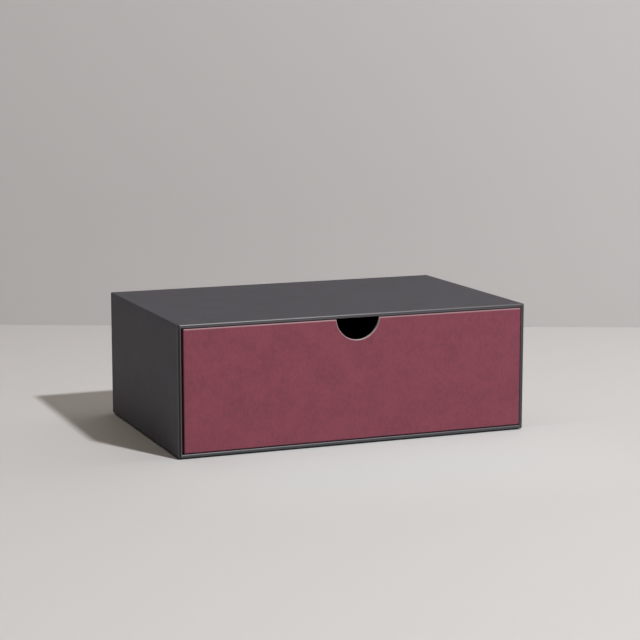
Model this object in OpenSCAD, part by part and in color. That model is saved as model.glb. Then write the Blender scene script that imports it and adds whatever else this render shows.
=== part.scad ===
// Sliding drawer gift box: a rigid sleeve, closed at the back, and a tray that slides out of
// its front. Each of the two is a set-up case of five butted greyboards, held at the edges by
// gummed paper stays, covered with one sheet that turns in over the open rim and folds on to
// the closed end, finished there with a pasted sheet, and lined inside.
// Millimetres, +Z up, origin under the middle of the closed box, the drawer opens towards -Y.

/* [Overall size] */
// Width of the sleeve, left to right
sleeve_w = 285; // [160:1:420]
// Depth of the sleeve, open front to closed back
sleeve_d = 181; // [120:1:320]
// Height of the sleeve, with the card it stands on
sleeve_h = 101; // [60:1:180]

/* [Board and paper] */
// Thickness of the greyboard
board_t = 2; // [1.2:0.1:3]
// Thickness of the covering paper
wrap_t = 0.2; // [0.1:0.05:0.4]
// Thickness of the gummed paper stays
stay_t = 0.12; // [0.08:0.01:0.2]
// Width of each leg of a stay
stay_w = 12; // [8:1:14]
// Thickness of the lining paper
lining_t = 0.15; // [0.1:0.05:0.3]
// Thickness of the card pasted under the sleeve
underlay_t = 0.9; // [0.2:0.1:1.5]
// Radius to which the outer board edges are rubbed down
outer_edge_r = 0.5; // [0.3:0.05:0.8]
// Radius of the inner board edge along an open rim
inner_edge_r = 0.2; // [0.1:0.05:0.4]

/* [Covering] */
// How far the sleeve's covering turns in behind its front rim
sleeve_turn_in = 18; // [12:1:30]
// How far the drawer's covering turns in below its rim
drawer_turn_in = 15; // [10:1:25]
// Width of the flange that a covering folds on to its closed end
flange_w = 18; // [16:1:25]
// Distance from an open rim to the edge of the lining
lining_setback = 3; // [2:0.5:6]
// Distance from the edges of a closed end to the sheet pasted on it
sheet_inset = 2; // [1.5:0.5:4]
// Distance from the sleeve's left side to the seam of its covering, underneath
seam_x = 20; // [12:1:40]
// Width of that seam
seam_gap = 0.4; // [0.2:0.1:1]

/* [Running gaps] */
// Gap between the drawer and the lining above it
gap_over = 0.6; // [0.4:0.05:1.5]
// Gap between the drawer and the lining below it
gap_under = 0.45; // [0.3:0.05:0.6]
// Gap between the drawer and the lining on its left
gap_left = 1.7; // [0.3:0.05:2]
// Gap between the drawer and the lining on its right
gap_right = 0.3; // [0.3:0.05:2]
// Gap behind the closed drawer
gap_behind = 0.3; // [0.3:0.05:3]

/* [Thumb notch] */
// Radius of the half-round notch in the drawer's front
notch_r = 17.8; // [12:0.2:24]
// Depth of the notch below the drawer's rim
notch_depth = 16.6; // [10:0.2:24]

/* [Hidden] */
$fn = 48;
// Overrun that lets a cutting shape pass clean through what it cuts
over = 1;
// Play round a lining sheet laid between lined walls
sheet_play = 0.5;
// Distance from an open rim to the end of a stay
stay_setback = 3;

// Stay and covering together, outside a board
skin_t = stay_t + wrap_t;
// From the outside of a covered case to the inner face of its board
wall_t = skin_t + board_t;
// The same with the turned-in covering and the lining, as it is near an open rim
lined_wall_t = wall_t + wrap_t + lining_t;

// The sleeve's case, as [width, depth, height] with its open rim on top: the card underneath
// and the sheet on the back lie outside it
sleeve_case = [sleeve_w, sleeve_h - underlay_t, sleeve_d - wrap_t];
// Size of the drawer, and where its underside and its middle are
drawer_w = sleeve_w - 2 * lined_wall_t - gap_left - gap_right;
drawer_d = sleeve_d - wrap_t - wall_t - lining_t - gap_behind;
drawer_h = sleeve_h - underlay_t - 2 * lined_wall_t - gap_over - gap_under;
drawer_x = (gap_left - gap_right) / 2;
drawer_y = (drawer_d - sleeve_d) / 2;
drawer_z = underlay_t + lined_wall_t + gap_under;
drawer_case = [drawer_w, drawer_d, drawer_h - wrap_t];

CHARCOAL = [0.24, 0.235, 0.25];
BURGUNDY = [0.5, 0.27, 0.32];
LINING = [0.09, 0.09, 0.095];
GREYBOARD = [0.66, 0.63, 0.58];
KRAFT = [0.68, 0.53, 0.36];

// ---- Shapes that both cases share, with the open rim on top and the closed end at z = 0 ----

// What a round of radius r takes off a square corner at the origin, whose material lies
// towards sx and sy
module corner_waste(r, sx, sy) {
    difference() {
        translate([sx > 0 ? -over : -r, sy > 0 ? -over : -r])
            square(r + over);
        translate([sx * r, sy * r])
            circle(r);
    }
}

// Rectangle about the origin with its corners rounded
module round_rect(w, d, r) {
    difference() {
        square([w, d], center = true);
        for (sx = [-1, 1], sy = [-1, 1])
            translate([sx * w / 2, sy * d / 2])
                corner_waste(r, -sx, -sy);
    }
}

// Block standing on z = 0 with every edge rounded
module round_block(w, d, h, r) {
    intersection() {
        linear_extrude(h)
            round_rect(w, d, r);
        translate([0, d / 2, h / 2])
            rotate([90, 0, 0])
                linear_extrude(d)
                    round_rect(w, h, r);
        translate([-w / 2, 0, h / 2])
            rotate([90, 0, 90])
                linear_extrude(w)
                    round_rect(d, h, r);
    }
}

// Block centred on the axis between two heights
module middle_block(w, d, z_low, z_high) {
    translate([-w / 2, -d / 2, z_low])
        cube([w, d, z_high - z_low]);
}

// Outline of a case, inset all round by the layers outside it
module case_block(case, inset, r) {
    translate([0, 0, inset])
        round_block(case.x - 2 * inset, case.y - 2 * inset, case.z - inset - min(inset, wrap_t), r);
}

// What rounding takes off the inner edges of an open rim that is w by d inside
module rim_waste(w, d, z, r) {
    for (side = [-1, 1]) {
        translate([-w / 2, side * d / 2, z])
            rotate([90, 0, 90])
                linear_extrude(w)
                    corner_waste(r, side, -1);
        translate([side * w / 2, d / 2, z])
            rotate([90, 0, 0])
                linear_extrude(d)
                    corner_waste(r, side, -1);
    }
}

// The boards' own outline, open inside along the rim
module board_outline(case) {
    difference() {
        case_block(case, skin_t, outer_edge_r);
        rim_waste(case.x - 2 * wall_t, case.y - 2 * wall_t, case.z - wrap_t, inner_edge_r);
    }
}

// Wall board on the long side towards +Y or -Y, as wide as the case
module long_board(case, side) {
    intersection() {
        board_outline(case);
        translate([0, side * (case.y - wall_t) / 2, 0])
            middle_block(case.x, wall_t, 0, case.z);
    }
}

// Wall board on the short side towards +X or -X, standing between the long ones
module short_board(case, side) {
    intersection() {
        board_outline(case);
        translate([side * (case.x - wall_t) / 2, 0, 0])
            middle_block(wall_t, case.y - 2 * wall_t, 0, case.z);
    }
}

// Board of the closed end, standing between the four walls
module end_board(case) {
    middle_block(case.x - 2 * wall_t, case.y - 2 * wall_t, skin_t, wall_t);
}

// Space that the stays share: the layer between the boards and the covering
module stay_layer(case) {
    difference() {
        case_block(case, wrap_t, outer_edge_r + stay_t);
        case_block(case, skin_t, outer_edge_r);
    }
}

// Stay along one corner of the walls
module corner_stay(case, side_x, side_y) {
    leg = stay_w + wrap_t;
    intersection() {
        stay_layer(case);
        translate([side_x * (case.x - leg) / 2, side_y * (case.y - leg) / 2, 0])
            middle_block(leg, leg, skin_t, case.z - stay_setback);
    }
}

// Stay along one edge of the closed end, between the corner stays
module end_stay(case, side_x, side_y) {
    leg = stay_w + wrap_t;
    w = side_x == 0 ? case.x - 2 * leg : leg;
    d = side_y == 0 ? case.y - 2 * leg : leg;
    intersection() {
        stay_layer(case);
        translate([side_x * (case.x - leg) / 2, side_y * (case.y - leg) / 2, 0])
            middle_block(w, d, 0, leg);
    }
}

// Covering sheet: round the walls, turned in over the rim, flanged on to the closed end
module covering(case, turn_in) {
    inside_w = case.x - 2 * wall_t;
    inside_d = case.y - 2 * wall_t;
    turn_z = case.z - turn_in;
    difference() {
        case_block(case, 0, outer_edge_r + skin_t);
        difference() {
            case_block(case, wrap_t, outer_edge_r + stay_t);
            middle_block(inside_w, inside_d, turn_z, case.z);
            rim_waste(inside_w, inside_d, case.z - wrap_t, inner_edge_r);
        }
        middle_block(inside_w - 2 * wrap_t, inside_d - 2 * wrap_t, turn_z - over, case.z + over);
        rim_waste(inside_w - 2 * wrap_t, inside_d - 2 * wrap_t, case.z, inner_edge_r + wrap_t);
        middle_block(case.x - 2 * flange_w, case.y - 2 * flange_w, -over, wrap_t + over);
    }
}

// Sheet pasted on the closed end: it lies on the flanges and steps down to the board
module end_sheet(case) {
    window_w = case.x - 2 * flange_w;
    window_d = case.y - 2 * flange_w;
    difference() {
        union() {
            middle_block(case.x - 2 * sheet_inset, case.y - 2 * sheet_inset, -wrap_t, 0);
            middle_block(window_w, window_d, -wrap_t, skin_t);
        }
        middle_block(window_w - 2 * wrap_t, window_d - 2 * wrap_t, -wrap_t - over, stay_t);
    }
}

// Lining round the inside of the walls: on the boards, then over the turned-in covering
module wall_lining(case, turn_in) {
    inside_w = case.x - 2 * wall_t;
    inside_d = case.y - 2 * wall_t;
    mouth_w = inside_w - 2 * wrap_t;
    mouth_d = inside_d - 2 * wrap_t;
    turn_z = case.z - turn_in;
    edge_z = case.z - lining_setback;
    difference() {
        union() {
            middle_block(inside_w, inside_d, wall_t, turn_z);
            middle_block(mouth_w, mouth_d, wall_t, edge_z);
        }
        middle_block(inside_w - 2 * lining_t, inside_d - 2 * lining_t, wall_t - over, turn_z - lining_t);
        middle_block(mouth_w - 2 * lining_t, mouth_d - 2 * lining_t, wall_t, edge_z + over);
    }
}

// Lining sheet on the closed end
module end_lining(case) {
    edge = wall_t + lining_t + sheet_play;
    middle_block(case.x - 2 * edge, case.y - 2 * edge, wall_t, wall_t + lining_t);
}

// ---- Where the two cases stand ----

// The sleeve lies with its open rim towards -Y
module place_sleeve() {
    translate([0, sleeve_d / 2 - wrap_t, (sleeve_h + underlay_t) / 2])
        rotate([90, 0, 0])
            children();
}

module place_drawer() {
    translate([drawer_x, drawer_y, drawer_z + wrap_t])
        children();
}

// Half-round notch for a thumb, cut through the drawer's front from its rim down
module thumb_notch() {
    axis_z = drawer_case.z - notch_depth + notch_r;
    front_depth = lined_wall_t + over;
    translate([0, front_depth - drawer_d / 2, axis_z])
        rotate([90, 0, 0])
            cylinder(h = front_depth + over, r = notch_r);
    translate([0, (front_depth - over - drawer_d) / 2, 0])
        middle_block(2 * notch_r, front_depth + over, axis_z, axis_z + notch_depth + over);
}

// ---- Sleeve ----

module sleeve_top_board() { color(GREYBOARD) place_sleeve() long_board(sleeve_case, 1); }
module sleeve_bottom_board() { color(GREYBOARD) place_sleeve() long_board(sleeve_case, -1); }
module sleeve_left_board() { color(GREYBOARD) place_sleeve() short_board(sleeve_case, -1); }
module sleeve_right_board() { color(GREYBOARD) place_sleeve() short_board(sleeve_case, 1); }
module sleeve_back_board() { color(GREYBOARD) place_sleeve() end_board(sleeve_case); }

module sleeve_stay_top_left() { color(KRAFT) place_sleeve() corner_stay(sleeve_case, -1, 1); }
module sleeve_stay_top_right() { color(KRAFT) place_sleeve() corner_stay(sleeve_case, 1, 1); }
module sleeve_stay_bottom_left() { color(KRAFT) place_sleeve() corner_stay(sleeve_case, -1, -1); }
module sleeve_stay_bottom_right() { color(KRAFT) place_sleeve() corner_stay(sleeve_case, 1, -1); }
module sleeve_stay_back_top() { color(KRAFT) place_sleeve() end_stay(sleeve_case, 0, 1); }
module sleeve_stay_back_bottom() { color(KRAFT) place_sleeve() end_stay(sleeve_case, 0, -1); }
module sleeve_stay_back_left() { color(KRAFT) place_sleeve() end_stay(sleeve_case, -1, 0); }
module sleeve_stay_back_right() { color(KRAFT) place_sleeve() end_stay(sleeve_case, 1, 0); }

// One charcoal sheet round the sleeve, whose ends meet underneath
module sleeve_wrap() {
    color(CHARCOAL)
        place_sleeve()
            difference() {
                covering(sleeve_case, sleeve_turn_in);
                translate([seam_x - sleeve_w / 2, -sleeve_case.y / 2, 0])
                    middle_block(seam_gap, 2 * wrap_t, -over, sleeve_d);
            }
}

module sleeve_back_sheet() { color(CHARCOAL) place_sleeve() end_sheet(sleeve_case); }

// Flat card under the sleeve: it hides the seam, and the box stands on it
module sleeve_bottom_sheet() {
    color(CHARCOAL)
        middle_block(sleeve_w - 2 * sheet_inset, sleeve_d - 2 * sheet_inset, 0, underlay_t);
}

module sleeve_wall_lining() { color(LINING) place_sleeve() wall_lining(sleeve_case, sleeve_turn_in); }
module sleeve_back_lining() { color(LINING) place_sleeve() end_lining(sleeve_case); }

// ---- Drawer ----

module drawer_front_board() {
    color(GREYBOARD)
        place_drawer()
            difference() {
                long_board(drawer_case, -1);
                thumb_notch();
            }
}

module drawer_back_board() { color(GREYBOARD) place_drawer() long_board(drawer_case, 1); }
module drawer_left_board() { color(GREYBOARD) place_drawer() short_board(drawer_case, -1); }
module drawer_right_board() { color(GREYBOARD) place_drawer() short_board(drawer_case, 1); }
module drawer_base_board() { color(GREYBOARD) place_drawer() end_board(drawer_case); }

module drawer_stay_front_left() { color(KRAFT) place_drawer() corner_stay(drawer_case, -1, -1); }
module drawer_stay_front_right() { color(KRAFT) place_drawer() corner_stay(drawer_case, 1, -1); }
module drawer_stay_back_left() { color(KRAFT) place_drawer() corner_stay(drawer_case, -1, 1); }
module drawer_stay_back_right() { color(KRAFT) place_drawer() corner_stay(drawer_case, 1, 1); }
module drawer_stay_base_front() { color(KRAFT) place_drawer() end_stay(drawer_case, 0, -1); }
module drawer_stay_base_back() { color(KRAFT) place_drawer() end_stay(drawer_case, 0, 1); }
module drawer_stay_base_left() { color(KRAFT) place_drawer() end_stay(drawer_case, -1, 0); }
module drawer_stay_base_right() { color(KRAFT) place_drawer() end_stay(drawer_case, 1, 0); }

// One burgundy sheet round the tray, cut out with the board at the notch
module drawer_wrap() {
    color(BURGUNDY)
        place_drawer()
            difference() {
                covering(drawer_case, drawer_turn_in);
                thumb_notch();
            }
}

module drawer_base_sheet() { color(BURGUNDY) place_drawer() end_sheet(drawer_case); }

module drawer_wall_lining() {
    color(LINING)
        place_drawer()
            difference() {
                wall_lining(drawer_case, drawer_turn_in);
                thumb_notch();
            }
}

module drawer_base_lining() { color(LINING) place_drawer() end_lining(drawer_case); }

sleeve_top_board();
sleeve_bottom_board();
sleeve_left_board();
sleeve_right_board();
sleeve_back_board();
sleeve_stay_top_left();
sleeve_stay_top_right();
sleeve_stay_bottom_left();
sleeve_stay_bottom_right();
sleeve_stay_back_top();
sleeve_stay_back_bottom();
sleeve_stay_back_left();
sleeve_stay_back_right();
sleeve_wrap();
sleeve_back_sheet();
sleeve_bottom_sheet();
sleeve_wall_lining();
sleeve_back_lining();
drawer_front_board();
drawer_back_board();
drawer_left_board();
drawer_right_board();
drawer_base_board();
drawer_stay_front_left();
drawer_stay_front_right();
drawer_stay_back_left();
drawer_stay_back_right();
drawer_stay_base_front();
drawer_stay_base_back();
drawer_stay_base_left();
drawer_stay_base_right();
drawer_wrap();
drawer_base_sheet();
drawer_wall_lining();
drawer_base_lining();
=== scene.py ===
# %% [markdown]
# # A sliding drawer gift box
#
# The real object is a rigid paper-covered box. A charcoal sleeve, open at the front, holds a
# burgundy tray that slides out of it, with a half-round notch for a thumb. Both are cases of
# 2 mm greyboard, held at the edges by gummed paper stays, wrapped in one covering sheet each and
# lined with black paper. The measured model is loaded first, as a fixed frame. Its boards and
# stays are right as they are and only get a finish, while every sheet of paper is modelled anew,
# because folds, mitres and pressed edges are what the eye reads on such a box.

# %% Load the measured model
import math

import bmesh
import bpy
from mathutils import Matrix, Vector


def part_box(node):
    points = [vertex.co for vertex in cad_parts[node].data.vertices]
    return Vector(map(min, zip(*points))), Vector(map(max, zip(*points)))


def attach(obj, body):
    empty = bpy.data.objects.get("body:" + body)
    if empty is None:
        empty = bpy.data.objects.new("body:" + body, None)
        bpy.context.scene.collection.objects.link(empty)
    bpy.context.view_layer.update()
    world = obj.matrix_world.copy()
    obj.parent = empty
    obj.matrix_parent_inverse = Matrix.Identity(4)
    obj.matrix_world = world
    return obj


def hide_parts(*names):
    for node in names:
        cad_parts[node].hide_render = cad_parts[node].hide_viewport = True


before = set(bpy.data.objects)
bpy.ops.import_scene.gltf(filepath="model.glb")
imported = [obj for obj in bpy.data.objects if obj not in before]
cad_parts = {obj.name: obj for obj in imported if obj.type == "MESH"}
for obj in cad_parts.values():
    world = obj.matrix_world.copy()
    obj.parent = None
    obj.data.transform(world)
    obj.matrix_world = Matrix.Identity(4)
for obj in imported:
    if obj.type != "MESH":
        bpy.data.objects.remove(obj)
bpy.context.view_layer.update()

# %% [markdown]
# ## Sizes of board and paper
#
# The thicknesses can be read off the loaded pieces, so the sheets modelled here fit round the
# boards without any guessing. Only what the frame doesn't say is written down: how far a sheet
# turns in, how tight a fold is, and where the notch sits. Blender works in metres, so each length
# is written as a number of millimetres times MM.

# %% Sizes read from the frame
MM = 0.001

sleeve_low, sleeve_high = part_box("sleeve_wrap")
drawer_low, drawer_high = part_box("drawer_wrap")
PAPER = drawer_low.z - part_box("drawer_base_sheet")[0].z
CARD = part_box("sleeve_bottom_sheet")[1].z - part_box("sleeve_bottom_sheet")[0].z
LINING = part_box("drawer_base_lining")[1].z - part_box("drawer_base_lining")[0].z
SKIN = sleeve_high.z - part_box("sleeve_top_board")[1].z
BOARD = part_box("sleeve_top_board")[1].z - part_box("sleeve_top_board")[0].z
WALL = SKIN + BOARD
RIM = WALL + PAPER
print("paper, card, lining, skin, board, rim in mm:",
      [round(t / MM, 3) for t in (PAPER, CARD, LINING, SKIN, BOARD, RIM)])

# %% Sizes of the folds, flaps and notch
SLEEVE_TURN_IN, DRAWER_TURN_IN = 18 * MM, 15 * MM
FLANGE = 18 * MM
SHEET_INSET = 2 * MM
LINING_SETBACK, LINING_PLAY = 3 * MM, 0.05 * MM
# The radii of the folds outside and inside the rim.
SLEEVE_FOLDS, DRAWER_FOLDS = (1.0 * MM, 0.8 * MM), (0.82 * MM, 0.4 * MM)
# The sleeve's turned-in paper stands this proud at the rim, down to this depth.
RIM_BULGE, BULGE_DEPTH = 0.45 * MM, 2.6 * MM
MITRE_SLIT = 0.08 * MM
SEAM_X, SEAM_WIDTH = -122.5 * MM, 0.4 * MM
NOTCH_RADIUS, NOTCH_OVER_RIM = 17.8 * MM, 1.2 * MM


def case_of(low, high, upright):
    """Width, depth and height of a case, with its open rim on top."""
    size = high - low
    return Vector((size.x, size.y, size.z) if upright else (size.x, size.z, size.y))


SLEEVE_CASE = case_of(sleeve_low, sleeve_high, False)
DRAWER_CASE = case_of(drawer_low, drawer_high, True)
for name, case in (("sleeve", SLEEVE_CASE), ("drawer", DRAWER_CASE)):
    print(name, "case in mm:", [round(c / MM, 2) for c in case])

# %% [markdown]
# ## Camera
#
# The photograph is taken from the left of the box and a little above it, with a long lens, so
# its edges stay nearly parallel. The view is kept as an azimuth, an elevation, a distance and a
# small shift of the aim, which came from matching the corners of the sleeve. Writing the camera
# as three axes and a place is exact, where aiming it by a constraint would leave its roll open.

# %% Camera
AZIMUTH, ELEVATION = math.radians(-21.837), math.radians(9.130)
DISTANCE, AIM_RIGHT, AIM_UP = 1.5162, 0.00544, 0.03247
FOCAL_PIXELS, PICTURE_PIXELS, SENSOR = 1881.1, 640, 36.0
BOX_CENTRE = Vector((0, 0, 0.05))

towards_camera = Vector((math.sin(AZIMUTH) * math.cos(ELEVATION),
                         -math.cos(AZIMUTH) * math.cos(ELEVATION), math.sin(ELEVATION)))
camera_right = Vector((math.cos(AZIMUTH), math.sin(AZIMUTH), 0))
camera_up = towards_camera.cross(camera_right)
camera_place = BOX_CENTRE + towards_camera * DISTANCE + camera_right * AIM_RIGHT + camera_up * AIM_UP

camera = bpy.data.objects.new("camera", bpy.data.cameras.new("camera"))
bpy.context.scene.collection.objects.link(camera)
stand = Matrix((camera_right, camera_up, towards_camera)).transposed().to_4x4()
stand.translation = camera_place
camera.matrix_world = stand
camera.data.sensor_width = SENSOR
camera.data.lens = FOCAL_PIXELS / PICTURE_PIXELS * SENSOR
bpy.context.scene.camera = camera
print("camera at", [round(c, 4) for c in camera_place], "lens", round(camera.data.lens, 2), "mm")

# %% [markdown]
# ## Writing finishes as expressions
#
# A paper's colour is a sum of small effects: cloudy mottling, drawn-out fibres, a rubbed fold.
# Wiring dozens of nodes by hand hides that sum. So one small class wraps a socket, and plus,
# minus, times and power on it add the Math nodes. Every other node comes from one method.

# %% A socket that can be added and multiplied
class Tint:
    """One socket of a finish's nodes. Arithmetic on it adds Math nodes."""

    def __init__(self, tree, socket=None):
        self.tree, self.socket = tree, socket

    def node(self, kind, settings=None, values=None, out=0):
        """Add a node, set it up, and return one of its outputs."""
        made = self.tree.nodes.new("ShaderNode" + kind)
        for name, value in (settings or {}).items():
            setattr(made, name, value)
        for name, value in (values or {}).items():
            if isinstance(value, Tint):
                self.tree.links.new(value.socket, made.inputs[name])
            else:
                made.inputs[name].default_value = value
        return Tint(self.tree, made.outputs[out])

    def math(self, operation, first, second=0.0):
        return self.node("Math", {"operation": operation}, {0: first, 1: second})

    def __add__(self, other):
        return self.math("ADD", self, other)

    def __sub__(self, other):
        return self.math("SUBTRACT", self, other)

    def __rsub__(self, other):
        return self.math("SUBTRACT", other, self)

    def __mul__(self, other):
        return self.math("MULTIPLY", self, other)

    __radd__, __rmul__ = __add__, __mul__

    def least(self, other):
        return self.math("MINIMUM", self, other)

    def most(self, other):
        return self.math("MAXIMUM", self, other)

    def step(self, start, end, low=0.0, high=1.0):
        """Pass smoothly from low to high while the value goes from start to end."""
        return self.node("MapRange", {"interpolation_type": "SMOOTHSTEP"},
                         {"Value": self, "From Min": start, "From Max": end,
                          "To Min": low, "To Max": high})

    def mix(self, first, second):
        """Blend two colours, with this value as the share of the second."""
        return self.node("Mix", {"data_type": "RGBA"}, {0: self, 6: first, 7: second}, out=2)


print("sockets can be added and multiplied now")

# %% Places and patterns in the piece's own space
def place_of(tint):
    return tint.node("TexCoord", out="Object")


def parts_of(tint, vector):
    """The x, y and z of a vector."""
    return [tint.node("SeparateXYZ", {}, {0: vector}, out=axis) for axis in range(3)]


def cloud(tint, grain, detail=2.0, turn=(0, 0, 0), shift=(0, 0, 0)):
    """Noise from 0 to 1 whose grain is given as a length along each axis."""
    lengths = grain if isinstance(grain, tuple) else (grain,) * 3
    place = tint.node("Mapping", {}, {"Vector": place_of(tint), "Location": shift, "Rotation": turn,
                                      "Scale": tuple(1 / length for length in lengths)})
    return tint.node("TexNoise", {}, {"Vector": place, "Scale": 1.0, "Detail": detail}, out="Fac")


def tone(red, green, blue, by=1.0):
    return (red * by, green * by, blue * by, 1)


def start_finish(name):
    """A new finish with a Principled shader, as (material, shader, first tint)."""
    material = bpy.data.materials.new(name)
    material.use_nodes = True
    tree = material.node_tree
    tree.nodes.clear()
    shader = tree.nodes.new("ShaderNodeBsdfPrincipled")
    output = tree.nodes.new("ShaderNodeOutputMaterial")
    tree.links.new(shader.outputs["BSDF"], output.inputs["Surface"])
    return material, shader, Tint(tree)


def wear(shader, **links):
    """Link the finished values to the shader's sockets, named with underscores for spaces."""
    for name, value in links.items():
        value.tree.links.new(value.socket, shader.inputs[name.replace("_", " ")])


print("finishes can be written as sums now")

# %% [markdown]
# ## Covering paper
#
# The covering is a matt paper whose pulp shows: short fibres lie along the grain of the sheet,
# a few lie across it, and the colour is slightly cloudy. Fibres could be drawn as curves, but on
# a sheet this fine they are better as noise that is stretched along the grain, which is cheap,
# has no seams and can be baked.

# %% Fibres, pulp and clouds
FIBRE_LONG, FIBRE_WIDE = 3.4 * MM, 1.05 * MM
STRAY_LONG, STRAY_WIDE = 2.6 * MM, 0.5 * MM
PULP_GRAIN, SPECK_GRAIN, MOTTLE_GRAIN, DRIFT_GRAIN = 0.55 * MM, 0.9 * MM, 7 * MM, 22 * MM


def paper_grain(tint, grain):
    """The noises of a pulp paper: fibres along one axis, strays across it, pulp and mottling."""
    along = tuple(FIBRE_LONG if axis == grain else FIBRE_WIDE for axis in "XYZ")
    across = tuple(STRAY_WIDE if axis == grain else STRAY_LONG for axis in "XYZ")
    fibres = cloud(tint, along, 1.0)
    strays = cloud(tint, across, 1.0, shift=(5, 3, 7))
    pulp = cloud(tint, PULP_GRAIN, 1.0, shift=(8, 1, 3))
    mottle = cloud(tint, MOTTLE_GRAIN, 2.0, shift=(2, 9, 4))
    return fibres, strays, pulp, mottle


def paper_shade(tint, grains, fine, cloudy):
    """How light the dye is, about 0.5, from fine threads and from wide clouds."""
    fibres, strays, pulp, mottle = grains
    specks = cloud(tint, SPECK_GRAIN, 0.0, shift=(4, 6, 2)).step(0.72, 0.82)
    drift = cloud(tint, DRIFT_GRAIN, 1.0, shift=(6, 2, 8))
    threads = (fibres - 0.5) * 0.9 + (strays - 0.5) * 0.35 + (pulp - 0.5) * 0.35 + specks * 0.35
    clouds = (mottle - 0.5) * 0.8 + (drift - 0.5) * 0.7
    return 0.5 + threads * fine + clouds * cloudy


print("fibres are", [round(length / MM, 2) for length in (FIBRE_LONG, FIBRE_WIDE)], "mm")

# %% [markdown]
# ## Rubbed folds and painted shade on the covering
#
# The box maker rubs the folds down, which leaves them a little glossy. A thin coat of its own
# roughness lies on them, and the lamp draws a fine bright line there. Elsewhere shade is painted
# into the colour, which is made darker: on the outer half of the rim, at its creases on the left
# and right, and at the foot of the case. This painted shade follows the shape of the case, so it
# could be painted by hand, but it is exact when it comes from the distance to its sides.

# %% Distances on the case
def places_on_case(tint, low, high, rim_up):
    """How far a point is behind the rim, in from the outside, the left and the right, and up."""
    centre, half = (low + high) / 2, (high - low) / 2
    offset = tint.node("VectorMath", {"operation": "SUBTRACT"}, {0: place_of(tint), 1: centre})
    inwards = tint.node("VectorMath", {"operation": "ABSOLUTE"}, {0: offset})
    inwards = tint.node("VectorMath", {"operation": "SUBTRACT"}, {0: half, 1: inwards})
    x, y, z = parts_of(tint, inwards)
    right, back, up = parts_of(tint, offset)
    if rim_up:
        behind_rim, from_outside = half.z - up, x.least(y)
    else:
        behind_rim, from_outside = back + half.y, x.least(z)
    return behind_rim, from_outside, right + half.x, half.x - right, up + half.z


def distance_from_notch(tint, axis):
    """How far a point is from the notch's edge, seen along Y."""
    offset = tint.node("VectorMath", {"operation": "SUBTRACT"}, {0: place_of(tint), 1: axis})
    x, _, z = parts_of(tint, offset)
    return tint.math("ABSOLUTE", tint.math("SQRT", x * x + z * z) - NOTCH_RADIUS)


NOTCH_AXIS = Vector(((drawer_low.x + drawer_high.x) / 2, 0, drawer_high.z + NOTCH_OVER_RIM))
print("notch's axis in mm:", [round(c / MM, 2) for c in NOTCH_AXIS])

# %% Rubbed folds and painted shade
# Each pair is the distance at which the rubbing or a painted shade starts to fade, or to set in, and where it
# ends.
FOLD_FADES, RIM_SHADE_CHANGES = (0.95 * MM, 1.35 * MM), (0.9 * MM, 1.7 * MM)
CREASE_SHADE_STARTS, CREASE_SHADE_FADES, RIGHT_SHADE_FADES = (0.1 * MM, 0.5 * MM), (1.5 * MM, 2.1 * MM), (2.2 * MM, 2.9 * MM)
FOOT_SHADE_FADES = (0.2 * MM, 1.1 * MM)
NOTCH_FADES, CORE_AND_HIGHLIGHT_FADES = (0.4 * MM, 0.7 * MM), (0.17 * MM, 0.28 * MM)
# No painted shade anywhere: every share of black is zero.
NO_PAINTED_SHADE = {"rim_outside": 0, "rim_inside": 0, "left": 0, "right": 0, "foot": 0}


def rubbing_and_painted_shade(tint, corners, dark, rim_up):
    """How rubbed the paper is at a point, and how much painted shade lies there, in all and at the creases.
    dark holds the shares of black that paint the shade.
    """
    behind_rim, from_outside, from_left, from_right, above = places_on_case(tint, *corners, rim_up)
    near_rim = behind_rim.step(*FOLD_FADES, 1, 0)
    # Painted shade on the rim's folds at the left and the right.
    left = from_left.step(*CREASE_SHADE_STARTS) * from_left.step(*CREASE_SHADE_FADES, dark["left"], 0)
    crease_shade = near_rim * left.most(from_right.step(*RIGHT_SHADE_FADES, dark["right"], 0))
    # Painted shade at the foot of the case, next to the table.
    crease_and_foot_shade = crease_shade.most(above.step(*FOOT_SHADE_FADES, dark["foot"], 0))
    from_fold = from_outside.least(tint.math("ABSOLUTE", from_outside - RIM))
    rubbed = near_rim * from_fold.step(*FOLD_FADES, 1, 0) * (1 - crease_and_foot_shade)
    # Painted shade on the outer and the inner half of the rim.
    rim = near_rim * from_outside.step(*RIM_SHADE_CHANGES, dark["rim_outside"], dark["rim_inside"])
    return rubbed, rim.most(crease_and_foot_shade), crease_shade


print("paper is rubbed up to", round(FOLD_FADES[1] / MM, 2), "mm from a fold")

# %% [markdown]
# ## Charcoal and burgundy
#
# Both papers come from one recipe and differ in colour, in how strongly fibres and clouds show,
# and in their rubbing and painted shade. Where the notch is cut through the dyed burgundy paper,
# its pale core shows as a fine line, made lighter still as a painted highlight. The card under the
# sleeve is painted nearly black as painted shadow, so the thin gap above the table reads dark.

# %% Covering papers
ROUGHNESS, CREASE_ROUGHER, TOOTH = 0.62, 0.38, 0.012 * MM
CHARCOAL, BURGUNDY = (0.0414, 0.0388, 0.0511), (0.2345, 0.0478, 0.0757)
# The ring round the notch is painted this pale: partly the paper's pale core, partly a painted highlight of
# the pressed edge.
PALE_CORE_AND_HIGHLIGHT = tone(0.55, 0.44, 0.45)


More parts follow.
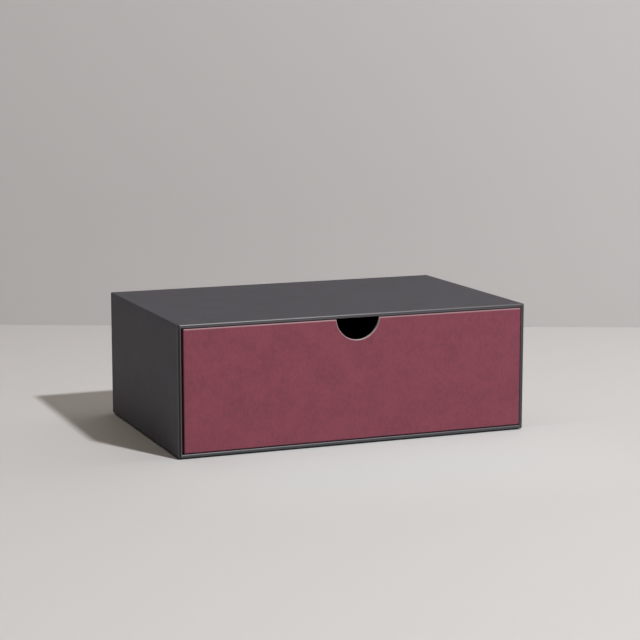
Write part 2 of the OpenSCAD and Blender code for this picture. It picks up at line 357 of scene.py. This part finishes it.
def covering_paper(name, colour, grain, corners, spread=0.2, fine=1.0, cloudy=1.0,
                   dark=NO_PAINTED_SHADE, coat=(1.5, 0.36), notch_axis=None):
    """Matt pulp paper round a case between two corners, darkened as painted shade by the shares in dark. coat
    is the rubbed paper's IOR and roughness.
    """
    material, shader, tint = start_finish(name)
    grains = paper_grain(tint, grain)
    fibres, strays, pulp, mottle = grains
    rubbed, painted_shade, crease_shade = rubbing_and_painted_shade(tint, corners, dark, notch_axis is not None)
    dye_and_painted_light = paper_shade(tint, grains, fine, cloudy).mix(tone(*colour, 1 - spread), tone(*colour, 1 + spread))
    # Painted shade: the colour is mixed towards black on the rim, its creases and the foot.
    dye_and_painted_light = painted_shade.mix(dye_and_painted_light, tone(0, 0, 0))
    if notch_axis:
        from_notch = distance_from_notch(tint, notch_axis)
        rubbed = rubbed.most(from_notch.step(*NOTCH_FADES, 1, 0))
        # A pale ring round the notch: the paper's pale core, lightened further as a painted highlight.
        dye_and_painted_light = from_notch.step(*CORE_AND_HIGHLIGHT_FADES, 1, 0).mix(dye_and_painted_light, PALE_CORE_AND_HIGHLIGHT)
    shader.inputs["Coat IOR"].default_value, shader.inputs["Coat Roughness"].default_value = coat
    wear(shader,
         Base_Color=dye_and_painted_light,
         Coat_Weight=rubbed,
         Roughness=ROUGHNESS + (fibres - 0.5) * 0.12 + (mottle - 0.5) * 0.08 + crease_shade * CREASE_ROUGHER,
         Normal=tint.node("Bump", {}, {
             "Height": fibres * 0.5 + strays * 0.2 + pulp * 0.3, "Strength": 1.0, "Distance": TOOTH}))
    return material


# The shares in dark paint shade on the charcoal rim, its creases and its foot.
charcoal_paper = covering_paper(
    "charcoal_covering", CHARCOAL, "Y", (sleeve_low, sleeve_high), 0.2, 0.7, 1.5, coat=(1.64, 0.36),
    dark={"rim_outside": 0.5, "rim_inside": 0.2, "left": 0.85, "right": 0.35, "foot": 0.9})
# The shares in dark paint a little shade on the burgundy rim and at its foot.
burgundy_paper = covering_paper(
    "burgundy_covering", BURGUNDY, "Z", (drawer_low, drawer_high), 0.16, 1.8, 1.4, coat=(2.1, 0.55),
    dark={"rim_outside": 0.05, "rim_inside": 0.05, "left": 0, "right": 0, "foot": 0.4},
    notch_axis=NOTCH_AXIS)
# Painted shadow: the card under the sleeve is made nearly black and reflects little, so the gap above the
# table reads dark.
card_painted_shadow = covering_paper("card_painted_shadow", [part * 0.2 for part in CHARCOAL], "Y", (sleeve_low, sleeve_high))
card_painted_shadow.node_tree.nodes["Principled BSDF"].inputs["Specular IOR Level"].default_value = 0.2
print("covering papers:", charcoal_paper.name, burgundy_paper.name, card_painted_shadow.name)

# %% [markdown]
# ## Black lining, greyboard and gummed stays
#
# The lining is a thin black paper with a soft tooth. Greyboard is made of recycled pulp pressed
# in layers, so its cut edge, which shows in the notch, is streaked along the board and dotted
# with pale and dark scraps. The stays are brown gummed paper, streaked along the tape.

# %% Lining paper
def lining_paper(name):
    material, shader, tint = start_finish(name)
    mottle, tooth = cloud(tint, 9 * MM, 2.0), cloud(tint, 0.6 * MM, 2.0, shift=(3, 5, 1))
    shade = 0.5 + (mottle - 0.5) * 0.9 + (tooth - 0.5) * 1.1
    wear(shader,
         Base_Color=shade.mix(tone(0.009, 0.009, 0.0095), tone(0.0165, 0.016, 0.0165)),
         Roughness=0.62 + (tooth - 0.5) * 0.2,
         Normal=tint.node("Bump", {}, {"Height": tooth, "Strength": 1.0, "Distance": 0.01 * MM}))
    return material


black_paper = lining_paper("black_lining_paper")
print("lining:", black_paper.name)

# %% Greyboard, with its layers across one axis
def greyboard(name, thin):
    material, shader, tint = start_finish(name)
    layers = cloud(tint, tuple(0.35 * MM if axis == thin else 5 * MM for axis in "XYZ"), 2.0)
    scraps = cloud(tint, 0.7 * MM, 1.0, shift=(1, 7, 2))
    pale, dark = scraps.step(0.62, 0.7), scraps.step(0.38, 0.3)
    body = (0.5 + (layers - 0.5) * 1.2).mix(tone(0.34, 0.28, 0.265), tone(0.47, 0.405, 0.385))
    flecked = (pale * 0.8).mix(body, tone(0.72, 0.69, 0.63))
    wear(shader,
         Base_Color=(dark * 0.7).mix(flecked, tone(0.14, 0.12, 0.1)),
         Roughness=0.86 + (scraps - 0.5) * 0.15,
         Normal=tint.node("Bump", {}, {"Height": layers * 0.6 + scraps * 0.4, "Strength": 1.0,
                                       "Distance": 0.06 * MM}))
    return material


boards = {axis: greyboard("greyboard_thin_" + axis.lower(), axis) for axis in "XYZ"}
print("greyboards:", [board.name for board in boards.values()])

# %% Gummed paper
def gummed_paper(name):
    material, shader, tint = start_finish(name)
    streaks = cloud(tint, (7 * MM, 7 * MM, 0.6 * MM), 2.0)
    shade = 0.5 + (streaks - 0.5) * 1.4
    wear(shader,
         Base_Color=shade.mix(tone(0.33, 0.18, 0.07), tone(0.5, 0.31, 0.15)),
         Roughness=0.6 + (streaks - 0.5) * 0.2,
         Normal=tint.node("Bump", {}, {"Height": streaks, "Strength": 1.0, "Distance": 0.02 * MM}))
    return material


kraft_paper = gummed_paper("gummed_kraft_paper")
print("stays:", kraft_paper.name)

# %% Put the finishes on the boards and stays
THIN_AXIS = {"left": "X", "right": "X", "front": "Y", "back": "Y", "top": "Z", "bottom": "Z", "base": "Z"}
finished = 0
for name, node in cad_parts.items():
    if name.endswith("_board"):
        side = name.split("_")[1]
        node.material_slots[0].material = boards[THIN_AXIS[side]]
    elif "_stay_" in name:
        node.material_slots[0].material = kraft_paper
    else:
        continue
    finished += 1
print("boards and stays finished:", finished)

# %% [markdown]
# ## Small tools for shaping paper
#
# Each sheet starts as a primitive at its real size and is shaped in edit mode. An operator acts
# on whatever is selected, so one helper starts a piece with nothing else selected, and another
# selects faces or edges by a test on their place. The cases are shaped standing up, with the
# open rim on top, which lets one recipe serve for both, and the sleeve is laid down at the end.

# %% Start a piece and select parts of it
def start_piece(name, low, high):
    """A block between two corners, in edit mode, named and with its place in its mesh."""
    bpy.ops.object.select_all(action="DESELECT")
    low, high = Vector(low), Vector(high)
    bpy.ops.mesh.primitive_cube_add(size=1, location=(low + high) / 2, scale=high - low)
    bpy.ops.object.transform_apply(location=True, rotation=True, scale=True)
    piece = bpy.context.object
    piece.name = piece.data.name = name
    bpy.ops.object.mode_set(mode="EDIT")
    return piece


def choose(kind, test):
    """Select only the VERT, EDGE or FACE parts whose middle passes the test."""
    bpy.ops.mesh.select_mode(type=kind)
    bpy.ops.mesh.select_all(action="DESELECT")
    mesh = bmesh.from_edit_mesh(bpy.context.edit_object.data)
    parts = {"VERT": mesh.verts, "EDGE": mesh.edges, "FACE": mesh.faces}[kind]
    chosen = 0
    for part in parts:
        if kind == "VERT":
            middle = part.co
        elif kind == "EDGE":
            middle = (part.verts[0].co + part.verts[1].co) / 2
        else:
            middle = part.calc_center_median()
        if test(middle, part):
            part.select_set(True)
            chosen += 1
    bmesh.update_edit_mesh(bpy.context.edit_object.data)
    return chosen


def near(first, second, slack=0.003 * MM):
    return abs(first - second) < slack


print("pieces can be started and their parts selected")

# %% Thicken, smooth and place a piece
def run_modifier(piece, kind, **settings):
    """Add a modifier, set it and apply it."""
    modifier = piece.modifiers.new(kind.lower(), kind)
    for name, value in settings.items():
        setattr(modifier, name, value)
    bpy.context.view_layer.objects.active = piece
    bpy.ops.object.modifier_apply(modifier=modifier.name)


def thicken(piece, thickness):
    """Give a sheet its thickness, behind the side that shows."""
    bpy.ops.object.mode_set(mode="OBJECT")
    run_modifier(piece, "SOLIDIFY", thickness=thickness, offset=-1.0, use_even_offset=True)


SMOOTH_BELOW = math.radians(32)


def smooth_folds(piece):
    """Smooth shading on the folds, flat shading on the faces between them."""
    bpy.ops.object.select_all(action="DESELECT")
    piece.select_set(True)
    bpy.context.view_layer.objects.active = piece
    bpy.ops.object.shade_smooth_by_angle(angle=SMOOTH_BELOW)
    run_modifier(piece, "WEIGHTED_NORMAL", keep_sharp=True, weight=100)


def lay(piece, turn, place):
    """Turn and place a finished mesh, and leave its object at the origin, unturned."""
    bpy.ops.object.select_all(action="DESELECT")
    piece.select_set(True)
    bpy.context.view_layer.objects.active = piece
    piece.rotation_euler, piece.location = turn, place
    bpy.ops.object.transform_apply(location=True, rotation=True, scale=True)


# Where a case that was shaped standing up goes in the box.
SLEEVE_TURN = (math.pi / 2, 0, 0)
SLEEVE_PLACE = Vector(((sleeve_low.x + sleeve_high.x) / 2, sleeve_high.y, (sleeve_low.z + sleeve_high.z) / 2))
DRAWER_PLACE = Vector(((drawer_low.x + drawer_high.x) / 2, (drawer_low.y + drawer_high.y) / 2, drawer_low.z))
print("sleeve stands at", [round(c / MM, 2) for c in SLEEVE_PLACE], "drawer at",
      [round(c / MM, 2) for c in DRAWER_PLACE])

# %% Hand a piece over
def hand_over(piece, material, slot, body, *nodes):
    """Finish a piece: its material, its body and the nodes it stands for. slot is not used."""
    piece.data.materials.clear()
    piece.data.materials.append(material)
    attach(piece, body)
    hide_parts(*nodes)
    size = [round(length / MM, 2) for length in piece.dimensions]
    print(piece.name, "is", size, "mm,", len(piece.data.polygons), "faces")


# %% [markdown]
# ## The two coverings
#
# A covering is one sheet that wraps the four walls, turns in over the rim, and folds on to the
# closed end, where its flanges meet in mitres. Modelled by hand it is a block: its top is inset
# by the thickness of the rim and pushed down as far as the paper turns in, and its bottom is
# inset by the width of a flange and opened. Then the folds are rounded, the mitres are slit, and
# the shell gets the thickness of paper on its inner side. A bent plane would need every fold
# placed by hand, and its corners wouldn't close.

# %% Turn the sheet in over the rim and on to the closed end
FOLD_STEPS_OUTSIDE, FOLD_STEPS_INSIDE = 6, 5


def turn_in_rim(case, turn_in, bulge):
    """Fold the sheet over the rim and down inside the walls, a little proud just below the fold."""
    half_w, half_d, height = case.x / 2, case.y / 2, case.z
    choose("FACE", lambda middle, face: near(middle.z, height))
    bpy.ops.mesh.inset(thickness=RIM, use_even_offset=True)
    bpy.ops.mesh.extrude_region_move(TRANSFORM_OT_translate={"value": (0, 0, -turn_in)})
    bpy.ops.mesh.delete(type="FACE")
    if bulge:
        choose("FACE", lambda middle, face: height - turn_in < middle.z < height and max(
            abs(middle.x) - half_w, abs(middle.y) - half_d) < -RIM / 2)
        bpy.ops.mesh.bisect(plane_co=(0, 0, height - BULGE_DEPTH), plane_no=(0, 0, 1))
        choose("VERT", lambda middle, vert: near(middle.z, height) and near(abs(middle.x), half_w - RIM))
        inwards = ((half_w - RIM - bulge) / (half_w - RIM), (half_d - RIM - bulge) / (half_d - RIM), 1)
        bpy.ops.transform.resize(value=inwards, center_override=(0, 0, 0))


def fold_flanges():
    """Fold the sheet on to the closed end, and leave the middle of that end open."""
    choose("FACE", lambda middle, face: near(middle.z, 0))
    bpy.ops.mesh.inset(thickness=FLANGE, use_even_offset=True)
    bpy.ops.mesh.delete(type="FACE")


print("a sheet is folded with", FOLD_STEPS_OUTSIDE, "steps outside and", FOLD_STEPS_INSIDE, "inside")

# %% Round the folds and slit the mitres
def round_folds(case, bulge, outer_fold, inner_fold):
    """Round every fold of a sheet round a case, and return how many there are."""
    half_w, half_d, height = case.x / 2, case.y / 2, case.z
    inner_w, inner_d = half_w - RIM - bulge, half_d - RIM - bulge

    def on_outer_fold(middle, edge):
        planes = (near(abs(middle.x), half_w), near(abs(middle.y), half_d),
                  near(middle.z, 0) or near(middle.z, height))
        return sum(planes) == 2

    def on_inner_fold(middle, edge):
        return near(middle.z, height) and (near(abs(middle.x), inner_w) or near(abs(middle.y), inner_d))

    outer = choose("EDGE", on_outer_fold)
    bpy.ops.mesh.bevel(offset=outer_fold, offset_type="OFFSET", segments=FOLD_STEPS_OUTSIDE,
                       profile=0.5, affect="EDGES")
    inner = choose("EDGE", on_inner_fold)
    bpy.ops.mesh.bevel(offset=inner_fold, offset_type="OFFSET", segments=FOLD_STEPS_INSIDE,
                       profile=0.5, affect="EDGES")
    return outer, inner


def slit_mitres(case, outer_fold):
    """Open the mitres at the corners as narrow slits, and return how many strips came out."""
    def on_mitre(middle, part):
        off_x, off_y = case.x / 2 - abs(middle.x), case.y / 2 - abs(middle.y)
        return near(off_x, off_y, 0.01 * MM) and off_x > outer_fold * 1.02

    def in_mitre_or_fold(vert):
        return on_mitre(vert.co, vert) or near(case.x / 2 - abs(vert.co.x), outer_fold, 0.02 * MM)

    choose("EDGE", lambda middle, edge: on_mitre(middle, edge) and all(map(in_mitre_or_fold, edge.verts)))
    bpy.ops.mesh.bevel(offset=MITRE_SLIT, offset_type="OFFSET", segments=1, affect="EDGES")
    strips = choose("FACE", on_mitre)
    bpy.ops.mesh.delete(type="FACE")
    return strips


def fold_covering(name, case, turn_in, bulge, outer_fold, inner_fold):
    """One covering sheet round a case that stands on its closed end."""
    piece = start_piece(name, (-case.x / 2, -case.y / 2, 0), (case.x / 2, case.y / 2, case.z))
    turn_in_rim(case, turn_in, bulge)
    fold_flanges()
    outer, inner = round_folds(case, bulge, outer_fold, inner_fold)
    print(name, "folds:", outer, "outer,", inner, "inner; slits:", slit_mitres(case, outer_fold))
    return piece


# %% Sleeve covering, with the seam where the ends of its sheet meet
def slit_seam(case, outer_fold):
    """Open the seam on the side towards -Y, which is the underside once the sleeve is laid down."""
    half_d = case.y / 2
    for x in (SEAM_X, SEAM_X + SEAM_WIDTH):
        choose("FACE", lambda middle, face: middle.y < -half_d + outer_fold and face.normal.y < -0.1)
        bpy.ops.mesh.bisect(plane_co=(x, 0, 0), plane_no=(1, 0, 0))
    strips = choose("FACE", lambda middle, face: near(middle.x, SEAM_X + SEAM_WIDTH / 2)
                    and face.normal.y < -0.1 and middle.y < -half_d + outer_fold)
    bpy.ops.mesh.delete(type="FACE")
    print("seam faces opened:", strips)


sleeve_covering = fold_covering("sleeve_covering", SLEEVE_CASE, SLEEVE_TURN_IN, RIM_BULGE, *SLEEVE_FOLDS)
slit_seam(SLEEVE_CASE, SLEEVE_FOLDS[0])
thicken(sleeve_covering, PAPER)
smooth_folds(sleeve_covering)
lay(sleeve_covering, SLEEVE_TURN, SLEEVE_PLACE)
hand_over(sleeve_covering, charcoal_paper, "charcoal_paper", "sleeve", "sleeve_wrap")

# %% [markdown]
# ## The thumb notch
#
# The notch is punched through the covered front, so board, covering and lining share one clean
# round cut. The punch presses the covering down round the hole, and that rounded edge catches
# the light as a thin pale line. So the tool that is cut away with a boolean is a plug turned on a
# lathe: a circle, extruded and resized ring by ring along the profile of the pressed edge.

# %% Punch the notch
NOTCH_STEPS, NOTCH_THROUGH = 128, 6 * MM
# How far each ring of the plug is outside the notch's radius and behind the paper's face, in mm.
PRESSED_EDGE = ((0.9, -0.5), (0.55, -0.02), (0.4, 0.01), (0.28, 0.03), (0.18, 0.06), (0.1, 0.1),
                (0.04, 0.15), (0.0, 0.19))
PLAIN_EDGE = ((0.0, -0.5),)


def turn_plug(edge):
    """A plug along +Z: the notch's cylinder, flared at its lower end as the punch presses the edge."""
    rings = [(NOTCH_RADIUS + wide * MM, deep * MM) for wide, deep in edge] + [(NOTCH_RADIUS, NOTCH_THROUGH)]
    bpy.ops.object.select_all(action="DESELECT")
    bpy.ops.mesh.primitive_circle_add(vertices=NOTCH_STEPS, radius=rings[0][0], fill_type="NGON",
                                      location=(0, 0, rings[0][1]))
    bpy.ops.object.transform_apply(location=True, rotation=True, scale=True)
    plug = bpy.context.object
    bpy.ops.object.mode_set(mode="EDIT")
    bpy.ops.mesh.select_all(action="SELECT")
    for (radius, depth), (next_radius, next_depth) in zip(rings, rings[1:]):
        bpy.ops.mesh.extrude_region_move(TRANSFORM_OT_translate={"value": (0, 0, next_depth - depth)})
        ratio = next_radius / radius
        bpy.ops.transform.resize(value=(ratio, ratio, 1), center_override=(0, 0, next_depth))
    bpy.ops.mesh.select_all(action="SELECT")
    bpy.ops.mesh.normals_make_consistent(inside=False)
    bpy.ops.object.mode_set(mode="OBJECT")
    return plug


def punch_notch(piece, edge):
    """Cut the notch through a piece that stands up, its front towards -Y."""
    plug = turn_plug(edge)
    plug.rotation_euler = (-math.pi / 2, 0, 0)
    plug.location = (0, -DRAWER_CASE.y / 2, DRAWER_CASE.z + NOTCH_OVER_RIM)
    run_modifier(piece, "BOOLEAN", operation="DIFFERENCE", solver="EXACT", object=plug)
    bpy.data.objects.remove(plug)
    print(piece.name, "punched, faces now:", len(piece.data.polygons))


# %% Drawer covering
drawer_covering = fold_covering("drawer_covering", DRAWER_CASE, DRAWER_TURN_IN, 0, *DRAWER_FOLDS)
thicken(drawer_covering, PAPER)
punch_notch(drawer_covering, PRESSED_EDGE)
smooth_folds(drawer_covering)
lay(drawer_covering, (0, 0, 0), DRAWER_PLACE)
hand_over(drawer_covering, burgundy_paper, "burgundy_paper", "drawer", "drawer_wrap")

# %% [markdown]
# ## Linings
#
# A strip of black paper lines the four inner walls and stops short of the rim, so a band of the
# turned-in covering shows above it. Where the strip climbs on to that turned-in paper there is
# a faint step all round. It is a block without its ends, cut across at the step with bisect,
# with the part above it drawn in by the thickness of the covering.

# %% Wall linings
STEP_LENGTH, CORNER_BEND = 0.8 * MM, 0.5 * MM


def line_walls(name, case, turn_in):
    """The lining round the inner walls of a case that stands up."""
    half_w, half_d = case.x / 2 - WALL - LINING, case.y / 2 - WALL - LINING
    low_z, step_z, high_z = WALL, case.z - turn_in, case.z - LINING_SETBACK
    piece = start_piece(name, (-half_w, -half_d, low_z), (half_w, half_d, high_z))
    choose("FACE", lambda middle, face: near(middle.z, low_z) or near(middle.z, high_z))
    bpy.ops.mesh.delete(type="ONLY_FACE")
    for z in (step_z - STEP_LENGTH, step_z - LINING):
        bpy.ops.mesh.select_all(action="SELECT")
        bpy.ops.mesh.bisect(plane_co=(0, 0, z), plane_no=(0, 0, 1))
    choose("VERT", lambda middle, vert: middle.z > step_z - 2 * LINING)
    bpy.ops.transform.resize(value=((half_w - PAPER) / half_w, (half_d - PAPER) / half_d, 1),
                             center_override=(0, 0, 0))
    choose("EDGE", lambda middle, edge: abs(edge.verts[0].co.z - edge.verts[1].co.z) > 0.1 * MM
           and near(abs(middle.x), half_w, 0.3 * MM) and near(abs(middle.y), half_d, 0.3 * MM))
    bpy.ops.mesh.bevel(offset=CORNER_BEND, offset_type="OFFSET", segments=3, profile=0.5, affect="EDGES")
    bpy.ops.mesh.select_all(action="SELECT")
    bpy.ops.mesh.flip_normals()
    thicken(piece, LINING)
    return piece


sleeve_lining = line_walls("sleeve_lining", SLEEVE_CASE, SLEEVE_TURN_IN)
smooth_folds(sleeve_lining)
lay(sleeve_lining, SLEEVE_TURN, SLEEVE_PLACE)
hand_over(sleeve_lining, black_paper, "lining_paper", "sleeve", "sleeve_wall_lining")

drawer_lining = line_walls("drawer_lining", DRAWER_CASE, DRAWER_TURN_IN)
punch_notch(drawer_lining, PLAIN_EDGE)
smooth_folds(drawer_lining)
lay(drawer_lining, (0, 0, 0), DRAWER_PLACE)
hand_over(drawer_lining, black_paper, "lining_paper", "drawer", "drawer_wall_lining")

# %% [markdown]
# ## Flat sheets
#
# Five flat sheets finish the box. Those on the closed ends lie half on the flanges and half on
# the bare board, so the edge of the flange shows through as a shallow frame. Each sheet is a
# thin block whose corners are rounded like a cut sheet's. The frame is made by cutting the sheet
# across with bisect, round its middle, and moving the middle in by what the layers beneath are thick.

# %% Cut a flat sheet
SHEET_CORNER, CARD_EDGE = 0.8 * MM, 0.12 * MM
FRAME_SLOPE, FRAME_SOFTNESS = 1.2 * MM, 0.4 * MM


def cut_sheet(name, width, depth, outer_z, sink, thickness):
    """A sheet that faces down at outer_z, with a window sunk into its middle."""
    half_w, half_d = width / 2, depth / 2
    piece = start_piece(name, (-half_w, -half_d, outer_z), (half_w, half_d, outer_z + thickness))
    choose("FACE", lambda middle, face: face.normal.z > -0.9)
    bpy.ops.mesh.delete(type="FACE")
    if sink:
        sink_window(half_w, half_d, sink)
    choose("VERT", lambda middle, vert: near(abs(middle.x), half_w) and near(abs(middle.y), half_d))
    bpy.ops.mesh.bevel(offset=SHEET_CORNER, offset_type="OFFSET", segments=4, affect="VERTICES")
    thicken(piece, thickness)
    return piece


def sink_window(half_w, half_d, sink):
    """Let the middle of a sheet in by sink, inside the edges of the flanges beneath it."""
    margin = FLANGE - SHEET_INSET
    for inset in (margin, margin + FRAME_SLOPE):
        for side in (-1, 1):
            for place, facing in (((side * (half_w - inset), 0, 0), (1, 0, 0)),
                                  ((0, side * (half_d - inset), 0), (0, 1, 0))):
                bpy.ops.mesh.select_all(action="SELECT")
                bpy.ops.mesh.bisect(plane_co=place, plane_no=facing)
    inner_w, inner_d = half_w - margin - FRAME_SLOPE, half_d - margin - FRAME_SLOPE
    slack = 0.01 * MM
    choose("VERT", lambda middle, vert: abs(middle.x) < inner_w + slack and abs(middle.y) < inner_d + slack)
    bpy.ops.transform.translate(value=(0, 0, sink))

    def on_ring(middle, edge):
        ends = [vert.co for vert in edge.verts]
        for ring_w, ring_d in ((inner_w, inner_d), (inner_w + FRAME_SLOPE, inner_d + FRAME_SLOPE)):
            along_y = all(near(abs(end.x), ring_w) and abs(end.y) < ring_d + slack for end in ends)
            along_x = all(near(abs(end.y), ring_d) and abs(end.x) < ring_w + slack for end in ends)
            if along_x or along_y:
                return True
        return False

    softened = choose("EDGE", on_ring)
    bpy.ops.mesh.bevel(offset=FRAME_SOFTNESS, offset_type="OFFSET", segments=4, affect="EDGES")
    print("edges softened round the window:", softened)


# %% Sheets pasted outside
def end_sheet_of(name, case):
    """The sheet pasted on the closed end of a case."""
    return cut_sheet(name, case.x - 2 * SHEET_INSET, case.y - 2 * SHEET_INSET, -PAPER, SKIN, PAPER)


back_sheet = end_sheet_of("sleeve_back_cover", SLEEVE_CASE)
smooth_folds(back_sheet)
lay(back_sheet, SLEEVE_TURN, SLEEVE_PLACE)
hand_over(back_sheet, charcoal_paper, "charcoal_paper", "sleeve", "sleeve_back_sheet")

base_sheet = end_sheet_of("drawer_base_cover", DRAWER_CASE)
smooth_folds(base_sheet)
lay(base_sheet, (0, 0, 0), DRAWER_PLACE)
hand_over(base_sheet, burgundy_paper, "burgundy_paper", "drawer", "drawer_base_sheet")

card_low, card_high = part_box("sleeve_bottom_sheet")
card = cut_sheet("sleeve_card", card_high.x - card_low.x, card_high.y - card_low.y, 0, 0, CARD)
run_modifier(card, "BEVEL", width=CARD_EDGE, segments=2)
smooth_folds(card)
# The card gets the near-black finish that paints shadow into the gap under the sleeve.
hand_over(card, card_painted_shadow, "charcoal_paper", "sleeve", "sleeve_bottom_sheet")

# %% Sheets laid inside
def floor_lining_of(name, case):
    """The lining on the closed end, inside, which faces the open rim."""
    edge = 2 * (WALL + LINING + LINING_PLAY)
    piece = cut_sheet(name, case.x - edge, case.y - edge, 0, 0, LINING)
    lay(piece, (math.pi, 0, 0), Vector((0, 0, WALL + LINING)))
    return piece


back_lining = floor_lining_of("sleeve_back_lining_sheet", SLEEVE_CASE)
smooth_folds(back_lining)
lay(back_lining, SLEEVE_TURN, SLEEVE_PLACE)
hand_over(back_lining, black_paper, "lining_paper", "sleeve", "sleeve_back_lining")

base_lining = floor_lining_of("drawer_base_lining_sheet", DRAWER_CASE)
smooth_folds(base_lining)
lay(base_lining, (0, 0, 0), DRAWER_PLACE)
hand_over(base_lining, black_paper, "lining_paper", "drawer", "drawer_base_lining")

# %% [markdown]
# ## The set
#
# The box stands on a pale table in front of a pale wall. The wall is a plane that can only be
# seen from its front, so a camera behind the box looks through it. In front of the box, light is
# painted on the table: its colour is a little lighter and cooler there, to make up for the red
# light that the drawer throws on it and for the shade next to the box.

# %% Pale finishes of the table and the wall
STAGE_TONE, WALL_SHARE, UNEVEN = (0.72, 0.70, 0.69), 0.97, 0.015
# Painted light: the table's colour in front of the box.
FRONT_PAINTED_LIGHT = (0.785, 0.822, 0.812)
FRONT_REACH, SIDE_REACH, FOOT_REACH = 0.24, 0.1, 0.01


def pale_finish(name, share):
    """A matt, slightly uneven finish, as (material, shader, tint, colour)."""
    material, shader, tint = start_finish(name)
    drift = cloud(tint, 0.35, 2.0)
    colour = (0.5 + (drift - 0.5) * 0.5).mix(tone(*STAGE_TONE, share * (1 - UNEVEN)),
                                             tone(*STAGE_TONE, share * (1 + UNEVEN)))
    wear(shader, Base_Color=colour)
    shader.inputs["Roughness"].default_value = 0.9
    shader.inputs["Specular IOR Level"].default_value = 0.1
    return material, shader, tint, colour


def table_finish():
    """The table's finish, with painted light in front of the box: lighter and cooler there."""
    material, shader, tint, colour = pale_finish("pale_table", 1.0)
    x, y, _ = parts_of(tint, place_of(tint))
    front, side = sleeve_low.y, sleeve_high.x
    ahead = y.step(front - FRONT_REACH, front) * y.step(front, front + FOOT_REACH, 1, 0)
    beside = tint.math("ABSOLUTE", x).step(side - SIDE_REACH, side + SIDE_REACH, 1, 0)
    # Painted light: in front of the box and just beside it the table's colour turns lighter and cooler.
    wear(shader, Base_Color=(ahead * beside).mix(colour, tone(*FRONT_PAINTED_LIGHT)))
    return material


def wall_finish():
    """The wall's finish, clear from behind."""
    material, shader, tint, _ = pale_finish("pale_wall", WALL_SHARE)
    behind = tint.node("NewGeometry", out="Backfacing")
    body, clear = Tint(material.node_tree, shader.outputs["BSDF"]), tint.node("BsdfTransparent")
    seen = tint.node("MixShader", {}, {0: behind, 1: body, 2: clear})
    output = next(node for node in material.node_tree.nodes if node.type == "OUTPUT_MATERIAL")
    material.node_tree.links.new(seen.socket, output.inputs["Surface"])
    return material


print("the table is paler up to", FRONT_REACH / MM, "mm in front of the box")

# %% Table and wall
WALL_LEFT, WALL_RIGHT = Vector((-0.0333, 0.5304, 0)), Vector((0.4001, 0.3447, 0))
TABLE_HALF, WALL_HALF = 4.0, 3.0


def add_plane(name, place, turn, half, material):
    bpy.ops.object.select_all(action="DESELECT")
    bpy.ops.mesh.primitive_plane_add(size=2 * half, location=place, rotation=turn)
    bpy.ops.object.transform_apply(location=True, rotation=True, scale=True)
    plane = bpy.context.object
    plane.name = plane.data.name = name
    plane.data.materials.append(material)


along_wall = (WALL_RIGHT - WALL_LEFT).normalized()
wall_turn = (math.pi / 2, 0, math.atan2(along_wall.y, along_wall.x))
wall_foot = WALL_LEFT + along_wall * along_wall.dot(-WALL_LEFT)
add_plane("table", (0, 0, 0), (0, 0, 0), TABLE_HALF, table_finish())
add_plane("wall", wall_foot + Vector((0, 0, WALL_HALF)), wall_turn, WALL_HALF, wall_finish())
print("wall stands", round(wall_foot.length, 3), "m behind the box")

# %% [markdown]
# ## Light
#
# The photograph has one fairly small lamp, high in front and to the right, which makes the
# clear shadow on the left, and a wide soft light from above. The small lamp's direction came from
# the outline of that shadow, and the strengths from the tones of the table, the wall and the box.

# %% Lamps and world
KEY_DIRECTION, KEY_DISTANCE = Vector((0.2558, -0.6304, 0.7330)).normalized(), 3.2
KEY_SIZE, KEY_WATTS, KEY_COLOUR = 0.2, 72.6, (1.0, 1.01, 1.03)
OVERHEAD_SIZE, OVERHEAD_WATTS, OVERHEAD_COLOUR = 2.4, 12.6, (1.0, 0.85, 0.65)
OVERHEAD_PLACE = Vector((0, 0.1, 2.6))
ROOM_TONE = (0.45, 0.44, 0.42)


def add_lamp(name, shape, size, place, watts, colour):
    lamp = bpy.data.lights.new(name, "AREA")
    lamp.shape, lamp.size, lamp.energy, lamp.color = shape, size, watts, colour
    holder = bpy.data.objects.new(name, lamp)
    bpy.context.scene.collection.objects.link(holder)
    holder.location = place
    holder.rotation_euler = (BOX_CENTRE - place).to_track_quat("-Z", "Y").to_euler()


add_lamp("key_lamp", "DISK", KEY_SIZE, KEY_DIRECTION * KEY_DISTANCE, KEY_WATTS, KEY_COLOUR)
add_lamp("overhead_lamp", "SQUARE", OVERHEAD_SIZE, OVERHEAD_PLACE, OVERHEAD_WATTS, OVERHEAD_COLOUR)

world = bpy.data.worlds.new("pale_room")
world.use_nodes = True
bpy.context.scene.world = world
room = Tint(world.node_tree)
rays = [room.node("LightPath", out=ray) for ray in ("Is Camera Ray", "Is Glossy Ray", "Is Transmission Ray")]
room_colour = (rays[0] + rays[1] + rays[2]).least(1).mix(tone(0, 0, 0), tone(*ROOM_TONE))
world.node_tree.links.new(room_colour.socket, world.node_tree.nodes["Background"].inputs["Color"])
bpy.context.scene.view_settings.view_transform = "Standard"
